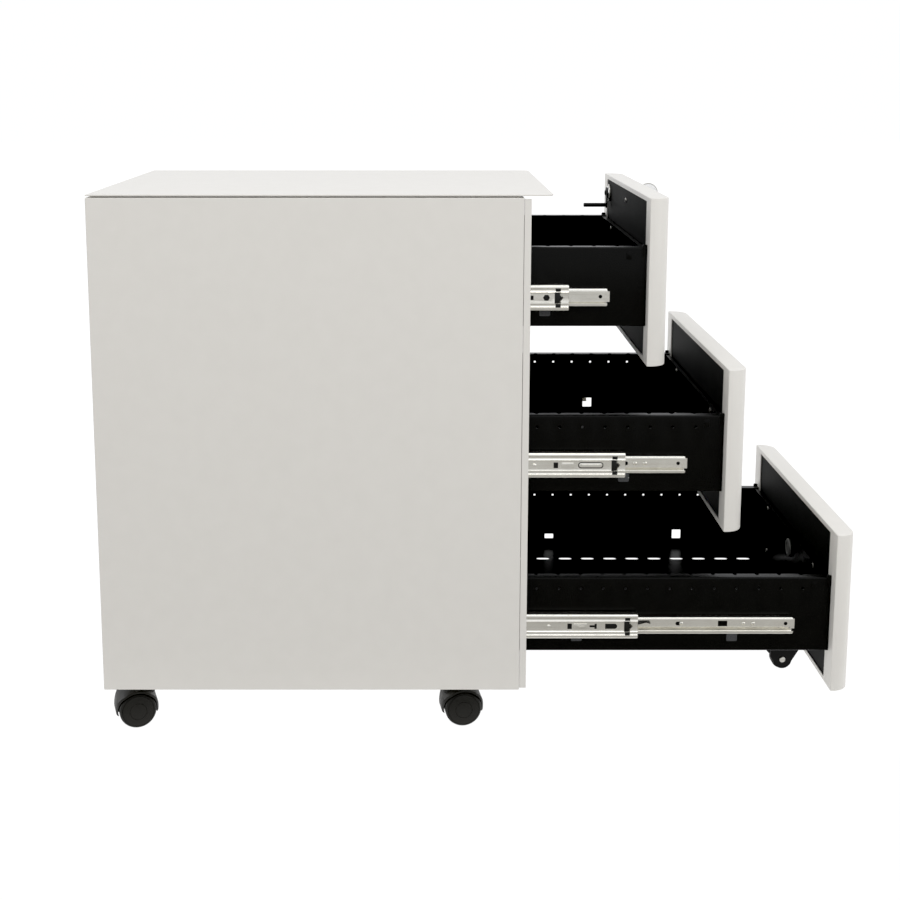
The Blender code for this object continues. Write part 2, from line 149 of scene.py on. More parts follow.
def prism(outline, axis, low, high, between=()):
    """An outline extruded along an axis: (y, z) for X, (x, z) for Y, (x, y) for Z.

    Extra rings between the ends keep the long faces of a pierced sheet small.
    """
    bm = bmesh.new()
    rings = [[bm.verts.new(on_axis(axis, u, v, w)) for u, v in outline] for w in (low, *between, high)]
    bm.faces.new(rings[0])
    bm.faces.new(rings[-1])
    for near, far in zip(rings, rings[1:]):
        for i in range(len(outline)):
            j = (i + 1) % len(outline)
            bm.faces.new((near[i], near[j], far[j], far[i]))
    bmesh.ops.recalc_face_normals(bm, faces=bm.faces)
    return bm


def block(low, high):
    return prism(rectangle(low[:2], high[:2]), "Z", low[2], high[2])


def rod(axis, centre, radius, low, high, steps=24):
    return prism(circle(centre, radius, steps), axis, low, high)


def turned(profile, axis, centre=(0.0, 0.0), steps=48):
    """(radius, distance) points turned about an axis; from axis to axis, or a closed ring."""
    bm = bmesh.new()
    rings = []
    for radius, along in profile:
        if radius == 0:
            rings.append([bm.verts.new(on_axis(axis, *centre, along))] * steps)
        else:
            rings.append([
                bm.verts.new(on_axis(axis, u, v, along)) for u, v in circle(centre, radius, steps)
            ])
    for i in range(len(rings) if profile[0][0] > 0 else len(rings) - 1):
        inner, outer = rings[i], rings[(i + 1) % len(rings)]
        for k in range(steps):
            m = (k + 1) % steps
            bm.faces.new(list(dict.fromkeys((inner[k], inner[m], outer[m], outer[k]))))
    bmesh.ops.recalc_face_normals(bm, faces=bm.faces)
    return bm


def softened(bm, radius, segments=3):
    """The mesh with its sharp edges rounded."""
    edges = [e for e in bm.edges if len(e.link_faces) == 2 and e.calc_face_angle() > SHARP]
    bmesh.ops.bevel(
        bm, geom=edges, offset=radius, segments=segments, profile=0.5,
        affect="EDGES", clamp_overlap=True,
    )
    return bm


def moved(bm, x=0.0, y=0.0, z=0.0):
    bmesh.ops.translate(bm, verts=bm.verts, vec=(x, y, z))
    return bm


def rotated(bm, degrees, axis):
    bmesh.ops.rotate(
        bm, verts=bm.verts, cent=(0, 0, 0), matrix=Matrix.Rotation(math.radians(degrees), 3, axis)
    )
    return bm


def flipped(bm, side):
    """The mesh as it is for the right-hand side (+1), mirrored across x = 0 for the left (-1)."""
    if side < 0:
        bmesh.ops.scale(bm, verts=bm.verts, vec=(-1, 1, 1))
        bmesh.ops.reverse_faces(bm, faces=bm.faces)
    return bm


def joined(parts):
    """One mesh of several; the parts are used up."""
    whole = bmesh.new()
    for part in parts:
        mesh = bpy.data.meshes.new("part")
        part.to_mesh(mesh)
        part.free()
        whole.from_mesh(mesh)
        bpy.data.meshes.remove(mesh)
    return whole


def as_object(name, bm):
    mesh = bpy.data.meshes.new(name)
    bm.to_mesh(mesh)
    bm.free()
    item = bpy.data.objects.new(name, mesh)
    bpy.context.scene.collection.objects.link(item)
    return item


def carved(base, *steps):
    """The mesh left after each (operation, tool) Boolean step in turn."""
    body = as_object("carved_body", base)
    tools = []
    for operation, tool_mesh in steps:
        tool = as_object("carving_tool", tool_mesh)
        modifier = body.modifiers.new("step", "BOOLEAN")
        modifier.operation = operation
        modifier.solver = "EXACT"
        modifier.object = tool
        tools.append(tool)
    bpy.context.view_layer.update()
    graph = bpy.context.evaluated_depsgraph_get()
    mesh = bpy.data.meshes.new_from_object(body.evaluated_get(graph))
    result = bmesh.new()
    result.from_mesh(mesh)
    bmesh.ops.remove_doubles(result, verts=result.verts, dist=0.000005)
    bmesh.ops.dissolve_degenerate(result, edges=result.edges, dist=0.000005)
    for item in [body, *tools]:
        bpy.data.objects.remove(item, do_unlink=True)
    bpy.data.meshes.remove(mesh)
    return result


def piece(name, parts, look, body, stands_for=(), bevel=0.0, smooth=32.0):
    """One shown object that rides on a CAD body."""
    item = as_object(name, joined(parts if isinstance(parts, list) else [parts]))
    item.data.materials.append(look)
    item.data.shade_smooth()
    if bevel:
        soften_object(item, bevel)
    else:
        item.data.set_sharp_from_angle(angle=math.radians(smooth))
    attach(item, body)
    if stands_for:
        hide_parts(*stands_for)
    return item


def soften_object(item, width, segments=2):
    modifier = item.modifiers.new("edges", "BEVEL")
    modifier.width = width
    modifier.segments = segments
    modifier.limit_method = "ANGLE"
    modifier.angle_limit = math.radians(32)
    modifier.harden_normals = True
    modifier.miter_outer = "MITER_ARC"


# ---- materials -----------------------------------------------------------------
class Look:
    """A Principled material whose nodes are added one call at a time."""

    def __init__(self, name, roughness, metallic=0.0, specular=0.5, coat=0.0, coat_roughness=0.03):
        self.material = bpy.data.materials.new(name)
        self.material.use_nodes = True
        self.tree = self.material.node_tree
        self.shader = self.tree.nodes["Principled BSDF"]
        self.set("Roughness", roughness)
        self.set("Metallic", metallic)
        self.set("Specular IOR Level", specular)
        self.set("Coat Weight", coat)
        self.set("Coat Roughness", coat_roughness)
        self.place = self.add("ShaderNodeTexCoord").outputs["Object"]

    def set(self, socket, value):
        self.shader.inputs[socket].default_value = value

    def add(self, kind, **inputs):
        node = self.tree.nodes.new(kind)
        for key, value in inputs.items():
            self.feed(node.inputs[key.replace("_", " ")], value)
        return node

    def feed(self, socket, value):
        if isinstance(value, bpy.types.NodeSocket):
            self.tree.links.new(value, socket)
        else:
            socket.default_value = value

    def stretched(self, scale):
        node = self.add("ShaderNodeMapping", Vector=self.place)
        node.inputs["Scale"].default_value = scale
        return node.outputs["Vector"]

    def noise(self, scale, detail=2.0, roughness=0.5, vector=None):
        node = self.add(
            "ShaderNodeTexNoise", Vector=vector or self.place, Scale=scale, Detail=detail,
            Roughness=roughness,
        )
        return node.outputs["Fac"]

    def ranged(self, value, low, high, start=0.3, end=0.7):
        node = self.add("ShaderNodeMapRange", Value=value)
        for key, number in zip(("From Min", "From Max", "To Min", "To Max"), (start, end, low, high)):
            node.inputs[key].default_value = number
        return node.outputs["Result"]

    def mix(self, factor, first, second):
        node = self.tree.nodes.new("ShaderNodeMix")
        node.data_type = "RGBA"
        self.feed(node.inputs[0], factor)
        self.feed(node.inputs[6], first)
        self.feed(node.inputs[7], second)
        return node.outputs[2]

    def colour(self, value):
        self.feed(self.shader.inputs["Base Color"], value)

    def bump(self, height, strength, distance, under=None):
        node = self.add("ShaderNodeBump", Height=height, Strength=strength, Distance=distance)
        if under:
            self.feed(node.inputs["Normal"], under)
        self.feed(self.shader.inputs["Normal"], node.outputs["Normal"])
        return node.outputs["Normal"]


def rgb(r, g, b):
    return (r, g, b, 1.0)


def powder_coat(name, dark, light, roughness, specular, grain, cells):
    """Fine orange peel over steel, with faint patches of tone and gloss."""
    look = Look(name, roughness, specular=specular)
    patches = look.noise(9.0, 3.0)
    fine = look.noise(grain, 2.0)
    look.colour(look.mix(look.ranged(look.noise(55.0, 4.0), 0.0, 1.0), dark, light))
    gloss = look.add("ShaderNodeMath", Value=look.ranged(patches, -0.02, 0.03))
    look.feed(gloss.inputs[1], look.ranged(fine, roughness - 0.03, roughness + 0.05))
    look.feed(look.shader.inputs["Roughness"], gloss.outputs[0])
    peel = look.add("ShaderNodeTexVoronoi", Vector=look.place, Scale=cells)
    peel.feature = "SMOOTH_F1"
    low = look.bump(peel.outputs["Distance"], 0.12, 0.00006)
    look.bump(fine, 0.10, 0.00004, low)
    return look.material


def zinc_look(name, dark, light, roughness):
    """Rolled, plated steel: long fine lines, cloudy plating and a faint warm cast."""
    look = Look(name, roughness, metallic=1.0)
    lines = look.noise(1.0, 2.0, 0.5, look.stretched((420.0, 5.0, 420.0)))
    clouds = look.noise(70.0, 4.0)
    scratches = look.noise(1.0, 2.0, 0.7, look.stretched((2600.0, 70.0, 2600.0)))
    tone = look.mix(look.ranged(clouds, 0.0, 1.0), dark, light)
    look.colour(look.mix(look.ranged(lines, 0.0, 0.30), tone, rgb(0.92, 0.91, 0.87)))
    rough = look.add("ShaderNodeMath", Value=look.ranged(lines, roughness - 0.02, roughness + 0.03))
    look.feed(rough.inputs[1], look.ranged(clouds, -0.015, 0.02))
    look.feed(look.shader.inputs["Roughness"], rough.outputs[0])
    look.bump(scratches, 0.04, 0.00002)
    return look.material


def chrome_look():
    look = Look("polished_chrome", 0.10, metallic=1.0)
    haze = look.noise(160.0, 3.0)
    look.colour(look.mix(look.ranged(haze, 0.0, 1.0), rgb(0.80, 0.80, 0.80), rgb(0.88, 0.88, 0.87)))
    look.feed(look.shader.inputs["Roughness"], look.ranged(haze, 0.07, 0.16))
    look.bump(look.noise(420.0), 0.03, 0.00004)
    return look.material


def plastic_look(name, dark, light, roughness, specular=0.5):
    """Moulded plastic with a fine spark-eroded texture and faint flow marks."""
    look = Look(name, roughness, specular=specular)
    grain = look.noise(2600.0, 2.0)
    flow = look.noise(38.0, 3.0)
    look.colour(look.mix(look.ranged(flow, 0.0, 1.0), dark, light))
    look.feed(look.shader.inputs["Roughness"], look.ranged(flow, roughness - 0.05, roughness + 0.06))
    look.bump(grain, 0.16, 0.00005)
    return look.material


def floor_look():
    look = Look("pale_floor", 0.75, specular=0.1)
    tone = look.ranged(look.noise(3.0, 4.0), 0.0, 1.0)
    look.colour(look.mix(tone, rgb(0.05, 0.05, 0.05), rgb(0.055, 0.055, 0.055)))
    look.set("Emission Color", rgb(1.0, 1.0, 1.0))
    look.set("Emission Strength", 1.0)
    look.bump(look.noise(60.0, 3.0), 0.03, 0.0004)
    return look.material


WHITE = powder_coat(
    "white_coat", rgb(0.712, 0.692, 0.650), rgb(0.727, 0.707, 0.665), 0.42, 0.40, 900.0, 650.0
)
BLACK = powder_coat(
    "black_coat", rgb(0.0022, 0.0022, 0.0019), rgb(0.0032, 0.0032, 0.0027), 0.27, 0.15, 1100.0, 800.0
)
MATT_BLACK = powder_coat(
    "matt_black_coat", rgb(0.0040, 0.0040, 0.0036), rgb(0.0055, 0.0055, 0.0048), 0.62, 0.08,
    1100.0, 800.0
)
ZINC = zinc_look("zinc", rgb(0.76, 0.745, 0.685), rgb(0.82, 0.805, 0.745), 0.22)
DARK_ZINC = zinc_look("screw_zinc", rgb(0.34, 0.33, 0.30), rgb(0.46, 0.45, 0.41), 0.36)
CHROME = chrome_look()
NYLON = plastic_look("castor_nylon", rgb(0.009, 0.0086, 0.0066), rgb(0.012, 0.0112, 0.009), 0.46, 0.22)
DELRIN = plastic_look("cage_plastic", rgb(0.004, 0.004, 0.0035), rgb(0.006, 0.006, 0.005), 0.40, 0.3)
GREY = plastic_look("plug_plastic", rgb(0.10, 0.10, 0.095), rgb(0.13, 0.13, 0.12), 0.48)


def carry_over(look, bevel, *nodes):
    """A CAD node that stays, with welded and softened edges and a finished material."""
    for name in nodes:
        item = frame["nodes"][name]
        item.data.materials.clear()
        item.data.materials.append(look)
        weld = item.modifiers.new("weld", "WELD")
        weld.merge_threshold = 0.00001
        soften_object(item, bevel)


# ---- fasteners -----------------------------------------------------------------
def screw_head(radius, height, axis="Y"):
    """A pan head with a cross recess, its seat at 0 and its dome towards + on the axis."""
    dome = [(0.0, 0.0), (radius, 0.0), (radius, height * 0.35)]
    dome += [
        (radius * math.cos(a), height * (0.35 + 0.65 * math.sin(a)))
        for a in (math.radians(d) for d in (25, 45, 62, 78))
    ]
    dome.append((0.0, height))
    arm, width, top, floor = radius * 0.55, radius * 0.13, height * 1.2, height * 0.45
    cross = [(-arm, -width), (-width, -width), (-width, -arm), (width, -arm), (width, -width),
             (arm, -width), (arm, width), (width, width), (width, arm), (-width, arm),
             (-width, width), (-arm, width)]
    return carved(turned(dome, axis, steps=28), ("DIFFERENCE", prism(cross, axis, floor, top)))


def copies(template, places):
    """Meshes of a template at each place; the template is used up."""
    made = [moved(template.copy(), *place) for place in places]
    template.free()
    return made


# ---- cabinet -------------------------------------------------------------------
def cabinet():
    carry_over(WHITE, 0.0004, "top_plate")
    carry_over(WHITE, 0.0008, "side_panel_left", "side_panel_right")
    carry_over(WHITE, 0.0004, "front_post_left", "front_post_right", "back_panel", "base_pan")
    low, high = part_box("back_panel")
    height, in_x, in_z = 0.2 * MM, 20.0 * MM, 30.0 * MM
    sites = [(x, BACK_Y - 0.3 * MM, z) for x in (low.x + in_x, 0.0, high.x - in_x)
             for z in (low.z + in_z, high.z - in_z)]
    rivets = copies(screw_head(3.2 * MM, height), sites)
    piece("back_panel_rivets", rivets, WHITE, "cabinet")


# ---- drawers -------------------------------------------------------------------
FRONT_DEPTH = 22.0 * MM
FRONT_CORNER = 19.0 * MM
LIP, LIP_HEIGHT = 28.0 * MM, 5.5 * MM
FRONT_HEIGHT = 183.0 * MM
LOCK_X, LOCK_HEIGHT, LOCK_HOLE = 148.0 * MM, 160.8 * MM, 9.3 * MM
BOX_X, BOX_Y, BOX_END = 180.0 * MM, 0.3 * MM, 428.0 * MM
FLOOR_Z, RIM_Z = 42.0 * MM, 129.0 * MM
RIM_WIDTH = 12.0 * MM
PITCH, FIRST_HOLE = 25.0 * MM, 6.7 * MM
WINDOWS = ((110.0 * MM, 66.2 * MM), (286.0 * MM, 60.2 * MM))    # each one's middle and top
WINDOW_HALF, WINDOW_SILL = 6.0 * MM, 53.5 * MM
FLOOR_SLOTS, FIRST_SLOT, SLOT_PITCH = 13, 28.5 * MM, 30.0 * MM
SLOT_X, SLOT_SIZE = 127.0 * MM, (18.0 * MM, 8.5 * MM)
PLUG_Z = 102.0 * MM


def front_outline(inset):
    """Plan of a drawer front, its two outer corners rounded."""
    x, y, r = HALF - FRONT_CORNER, FRONT_CORNER - FRONT_DEPTH, FRONT_CORNER - inset
    return [(-HALF + inset, -inset), *arc((-x, y), r, 180, 270, 18), *arc((x, y), r, 270, 360, 18),
            (HALF - inset, -inset)]


def drawer_front(name, y, z):
    skin = softened(prism(front_outline(0.0), "Z", 0.0, FRONT_HEIGHT), 0.0011, 4)
    hollow = prism(front_outline(SHEET), "Z", SHEET, FRONT_HEIGHT - SHEET)
    x = HALF - LIP
    mouth = block((-x, -2 * SHEET, LIP_HEIGHT), (x, 2 * SHEET, FRONT_HEIGHT - LIP_HEIGHT))
    steps = [("DIFFERENCE", hollow), ("DIFFERENCE", mouth)]
    if name == "top":
        steps.append(("DIFFERENCE", rod("Y", (LOCK_X, LOCK_HEIGHT), LOCK_HOLE, -0.03, 0.01, 48)))
    shell = moved(carved(skin, *steps), y=y, z=z)
    piece(f"{name}_front_skin", shell, WHITE, f"{name}_drawer",
          [f"{name}_drawer_front"])


def side_to_side(side, inner, outer):
    """The low and high x of a stretch between two distances from the middle, on one side."""
    return sorted((side * inner, side * outer))


def rim_notch(side, y):
    """A round-ended notch in a rim's inner edge."""
    edge = side * (BOX_X - RIM_WIDTH)
    mouth, deep, r = edge - side * 2.0 * MM, edge + side * 2.5 * MM, 2.0 * MM
    end = [(deep + side * r * math.cos(a), y + r * math.sin(a))
           for a in (math.radians(d) for d in (-60, -30, 0, 30, 60))]
    return [(mouth, y - r), (deep, y - r), *end, (deep, y + r), (mouth, y + r)]


def wall_openings(name):
    """Cutters for the two side walls, the rims and the floor of a drawer box."""
    cutters = []
    wide = BOX_X + 2.0 * MM
    for i in range(1, 17):
        y = FIRST_HOLE + i * PITCH
        if name != "top":
            cutters.append(rod("X", (y, RIM_Z - 13.0 * MM), 1.5 * MM, -wide, wide, 12))
        for side in (-1, 1):
            cutters.append(prism(rim_notch(side, y), "Z", RIM_Z - 3.0 * MM, RIM_Z + 2.0 * MM))
    for y, top in WINDOWS:
        opening = rectangle((y - WINDOW_HALF, WINDOW_SILL), (y + WINDOW_HALF, top))
        cutters.append(prism(fillet(opening, 1.0 * MM, 3, closed=True), "X", -wide, wide))
    for side in (-1, 1):
        for i in range(FLOOR_SLOTS):
            centre = (FIRST_SLOT + i * SLOT_PITCH, side * SLOT_X)
            hole = [(v, u) for u, v in slot_shape(centre, *SLOT_SIZE, 5)]
            cutters.append(prism(hole, "Z", FLOOR_Z - 1.0 * MM, FLOOR_Z + 3.0 * MM))
    return joined(cutters)


def wall_tabs(side):
    """A tab at the front end of a side wall, a boss, and pads over the two windows."""
    tab = rectangle((BOX_Y, RIM_Z - 11.0 * MM), (5.2 * MM, RIM_Z + 2.8 * MM))
    low_x, high_x = side_to_side(side, BOX_X - BOX_SHEET, BOX_X + 0.6 * MM)
    parts = [prism(fillet(tab, 1.2 * MM, 3, closed=True), "X", low_x, high_x)]
    boss = rectangle((16.5 * MM, RIM_Z - 13.5 * MM), (22.5 * MM, RIM_Z - 4.5 * MM))
    low_x, high_x = side_to_side(side, BOX_X - 0.2 * MM, BOX_X + 0.5 * MM)
    boss = prism(fillet(boss, 1.0 * MM, 3, closed=True), "X", low_x, high_x)
    parts.append(softened(boss, 0.25 * MM, 2))
    low_x, high_x = side_to_side(side, BOX_X - BOX_SHEET - 1.2 * MM, BOX_X - BOX_SHEET)
    for y, _ in WINDOWS:
        for inset, bottom, height in ((0.0, 68.0 * MM, 3.5 * MM), (1.0 * MM, 72.3 * MM, 5.2 * MM)):
            reach = WINDOW_HALF - inset
            pad = rectangle((y - reach, bottom), (y + reach, bottom + height))
            pad = prism(fillet(pad, 0.8 * MM, 3, closed=True), "X", low_x, high_x)
            parts.append(softened(pad, 0.3 * MM, 2))
    return parts


def drawer_tub(name, y, z):
    """Folded walls, rims and floor in one sheet, closed by a front and a back wall."""
    rim = BOX_X - RIM_WIDTH
    path = [(-rim, RIM_Z), (-BOX_X, RIM_Z), (-BOX_X, FLOOR_Z), (BOX_X, FLOOR_Z), (BOX_X, RIM_Z),
            (rim, RIM_Z)]
    section = thick(fillet(path, 1.8 * MM), BOX_SHEET)
    between_holes = [FIRST_HOLE + (i + 0.5) * PITCH for i in range(16)]
    shell = prism(section, "Y", BOX_Y, BOX_END, between_holes)
    parts = [carved(shell, ("DIFFERENCE", wall_openings(name)))]
    gap = BOX_SHEET + 0.2 * MM
    inside, base, top = BOX_X - gap, FLOOR_Z + gap, RIM_Z - gap
    for wall_y, inward, lip in ((BOX_Y, 1, 6.0 * MM), (BOX_END, -1, RIM_WIDTH)):
        fold = [(wall_y, base), (wall_y, top), (wall_y + inward * lip, top)]
        outline = thick(fillet(fold, 1.5 * MM), -inward * BOX_SHEET)
        wall = prism(outline, "X", -inside, inside)
        if inward > 0 and name == "bottom":
            hole = rod("Y", (0.0, PLUG_Z), 9.5 * MM, -2.0 * MM, 3.0 * MM, 40)
            wall = carved(wall, ("DIFFERENCE", hole))
        parts.append(wall)
    for side in (-1, 1):
        parts += wall_tabs(side)
    parts = [moved(part, y=y, z=z) for part in parts]
    piece(f"{name}_tub", parts, BLACK, f"{name}_drawer",
          [f"{name}_drawer_box"], smooth=40)


def drawer_screws(name, y, z):
    """Screws through the box's front wall, and the catch stud on the right."""
    sites = [(x, BOX_Y + BOX_SHEET, h) for x in (-0.110, 0.110) for h in (0.118, 0.060)]
    if name == "top":
        sites.append((0.0, -1.5 * MM, 163.8 * MM))
    parts = copies(screw_head(3.1 * MM, 1.6 * MM), sites)
    stud = [(0.0, 0.0), (4.2, 0.0), (4.2, 0.8), (2.5, 1.0), (2.5, 6.4), (2.0, 7.0), (0.0, 7.0)]
    stud = [(radius * MM, BOX_X + out * MM) for radius, out in stud]
    parts.append(turned(stud, "X", (23.0 * MM, 111.0 * MM), 32))
    piece(f"{name}_drawer_screws", [moved(part, y=y, z=z) for part in parts], DARK_ZINC,
          f"{name}_drawer")


def plug(y, z):
    """A flat blanking plug with a raised rim, pushed into the box's front wall."""
    seat = BOX_Y + BOX_SHEET + 0.3 * MM
    profile = [(0.0, -1.0 * MM), (9.0 * MM, -1.0 * MM), (9.0 * MM, seat)]
    profile += [(radius * MM, seat + out * MM) for radius, out in (
        (11.5, 0.0), (11.5, 0.7), (11.1, 1.4), (10.1, 1.8), (7.2, 1.8), (6.6, 1.3), (0.0, 1.3),
    )]
    piece("bottom_plug", moved(turned(profile, "Y", (0.0, PLUG_Z)), y=y, z=z), GREY,
          "bottom_drawer", ["hole_plug"])


def drawers():
    for name in DRAWERS:
        low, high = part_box(f"{name}_drawer_front")
        y, z = high.y, low.z
        drawer_front(name, y, z)
        carry_over(MATT_BLACK, 0.0003, f"{name}_drawer_liner")
        drawer_tub(name, y, z)
        drawer_screws(name, y, z)
        if name == "bottom":
            plug(y, z)


# ---- runners -------------------------------------------------------------------
LENGTH = 400.0 * MM          # every member
CABINET_HALF, MIDDLE_HALF, DRAWER_HALF = 18.0 * MM, 14.5 * MM, 10.0 * MM    # half heights
TIP, TAB_HALF = 3.3 * MM, 5.6 * MM      # a drawer member's narrow end tab
WEB = (170.0 * MM, 200.0 * MM)          # cutters through a member span these distances
MIDDLE_FACE, DRAWER_FACE = 189.6 * MM, 181.4 * MM    # where stamped details stand


def mirrored_path(upper):
    """A section symmetric about its middle height, from its upper half in millimetres."""
    return [(x * MM, z * MM) for x, z in [*upper, *[(x, -z) for x, z in reversed(upper)]]]


CABINET_PATH = mirrored_path([
    (183.0, 15.4), (183.0, 17.2), (183.8, 18.0), (191.3, 18.0), (192.6, 17.6), (193.3, 16.7),
    (193.5, 15.4), (193.5, 14.0),
])
MIDDLE_PATH = mirrored_path([
    (182.0, 14.5), (188.3, 14.5), (189.5, 14.3), (190.5, 13.6), (191.0, 12.7), (191.2, 11.8),
    (191.2, 10.6), (190.5, 10.3), (189.9, 9.5), (189.7, 8.4), (189.9, 7.2), (190.5, 6.5),
    (190.7, 6.0), (190.2, 5.3), (189.7, 5.0), (189.6, 4.4),
])
MIDDLE_INNER = mirrored_path([
    (182.0, 13.3), (187.9, 13.3), (189.1, 12.8), (189.7, 11.9), (189.8, 11.1), (188.9, 10.2),
    (188.4, 9.2), (188.3, 8.4), (188.4, 6.0), (188.4, 4.4),
])
DRAWER_PATH = mirrored_path([
    (188.5, 6.6), (188.5, 7.6), (188.2, 8.8), (187.5, 9.6), (186.4, 10.0), (182.9, 10.0), (181.6, 9.7),
    (180.7, 8.9), (180.3, 7.8), (180.3, 7.0),
])


def window(outline):
    """A cutter through a member's web, its outline in millimetres back from the end and up."""
    return prism([(u * MM, v * MM) for u, v in outline], "X", *WEB)


MIDDLE_HOLES = {
    "top": [circle((24.0, 0.0), 3.7, 6), rectangle((38.0, -2.4), (46.0, 2.4))],
    "middle": [slot_shape((38.0, 0.0), 28.0, 7.0), rectangle((74.0, -3.2), (79.0, 3.2))],
    "bottom": [
        [(36.5, 3.0), *arc((26.0, 0.0), 3.0, 90, 270, 8), (36.5, -3.0)],
        [(46.0, -3.0), (48.5, -3.0), (48.5, -1.2), (54.0, -1.2), (54.0, 1.2), (48.5, 1.2),
         (48.5, 3.0), (46.0, 3.0)],
        rectangle((74.0, -3.2), (79.0, 3.2)),
    ],
}
DRAWER_HOLES = {
    "top": [circle((10.0, 0.0), 2.0, 20)],
    "middle": [circle((10.0, 0.0), 2.0, 20), slot_shape((70.0, 0.0), 9.0, 4.4)],
    "bottom": [circle((10.0, 0.0), 2.1, 20), rectangle((76.0, -3.2), (86.5, 3.3)),
               slot_shape((130.0, 0.0), 9.0, 4.4)],
}


def tip_trims():
    """Cutters that leave only a narrow flat tab at a drawer member's front end."""
    start, over = -1.0 * MM, 2.0 * MM
    cutters = [prism(rectangle((start, -TAB_HALF), (TIP, TAB_HALF)), "X", 183.2 * MM, WEB[1])]
    for edge in (-1, 1):
        low, high = sorted((edge * (TAB_HALF + 0.2 * MM), edge * (DRAWER_HALF + over)))
        cutters.append(prism(rectangle((start, low), (TIP, high)), "X", *WEB))
    return cutters


def end_trims(half_height, radius, start=0.0):
    """Cutters that round a member's four corners, seen from the side."""
    over = 1.0 * MM
    cutters = []
    for end, inward in ((start, 1), (LENGTH, -1)):
        for edge in (-1, 1):
            corner = (end - inward * over, edge * (half_height + over))
            centre = (end + inward * radius, edge * (half_height - radius))
            turn = [math.radians(d) for d in range(0, 91, 15)]
            quarter = [(centre[0] - inward * radius * math.cos(a),
                        centre[1] + edge * radius * math.sin(a)) for a in turn]
            outline = [(corner[0], quarter[0][1]), *quarter, (quarter[-1][0], corner[1]), corner]
            cutters.append(prism(outline, "X", *WEB))
    return cutters


def member(section, *groups):
    """A runner member; the cutters of one group never touch each other."""
    return carved(prism(section, "Y", 0.0, LENGTH), *[("DIFFERENCE", joined(g)) for g in groups])


def plate(outline, x, depth):
    """A raised plate on a runner, its outline in millimetres back from the end and up."""
    blank = prism([(u * MM, v * MM) for u, v in outline], "X", x, x + depth)
    return softened(blank, 0.18 * MM, 2)


def rivets(profile, face, places):
    """Round stamped bosses along a member's web, from a profile and places in millimetres."""
    profile = [(radius * MM, out * MM) for radius, out in profile]
    return [moved(turned(profile, "X", steps=20), face, y * MM) for y in places]


def middle_details(name):
    """What shows in the openings of a middle runner: cage plastic and stamped steel."""
    arrow = [(9.5, -5.6), (15.0, -5.6), (15.0, 5.6), (9.5, 5.6), (9.5, 2.6), (7.0, 0.0), (9.5, -2.6)]
    cage = [plate(arrow, 188.0 * MM, 2.6 * MM)]
    for edge in (-1, 1):
        low, high = sorted((edge * 6.8, edge * 10.6))
        cage.append(plate(rectangle((8.6, low), (14.2, high)), 188.4 * MM, 2.2 * MM))
    cage.append(plate(rectangle((18.0, -4.6), (104.0, 4.6)), 187.2 * MM, 0.6 * MM))
    sunk, deep = MIDDLE_FACE - 0.4 * MM, 0.8 * MM
    steel = []
    if name == "middle":
        steel.append(plate(slot_shape((38.0, 0.0), 26.0, 5.0), MIDDLE_FACE - 1.1 * MM, 1.2 * MM))
        steel.append(plate(slot_shape((38.0, 0.0), 20.0, 2.0), MIDDLE_FACE - 0.2 * MM, 0.5 * MM))
        steel.append(plate(rectangle((57.0, -3.2), (70.0, 3.2)), sunk, deep))
    if name == "bottom":
        steel.append(plate(rectangle((57.0, -3.4), (72.0, 3.4)), sunk, deep))
        tee = [(60.0, -0.7), (66.0, -0.7), (66.0, -2.2), (67.6, -2.2), (67.6, 2.2), (66.0, 2.2),
               (66.0, 0.7), (60.0, 0.7)]
        steel.append(plate(tee, MIDDLE_FACE, deep))
    dome = [(0.0, 0.0), (2.2, 0.0), (2.0, 0.6), (1.2, 1.0), (0.0, 1.1)]
    steel += rivets(dome, MIDDLE_FACE - 0.1 * MM, (100.0, 160.0, 230.0, 310.0, 380.0))
    return cage, steel


def mouth_cage():
    """The ball cage's dark curved end at the mouth of a middle runner."""
    rim = arc((4.2, 0.0), 4.6, 110, 250, 12)
    return prism(thick([(u * MM, v * MM) for u, v in rim], 0.7 * MM), "X", 185.8 * MM, 188.6 * MM)


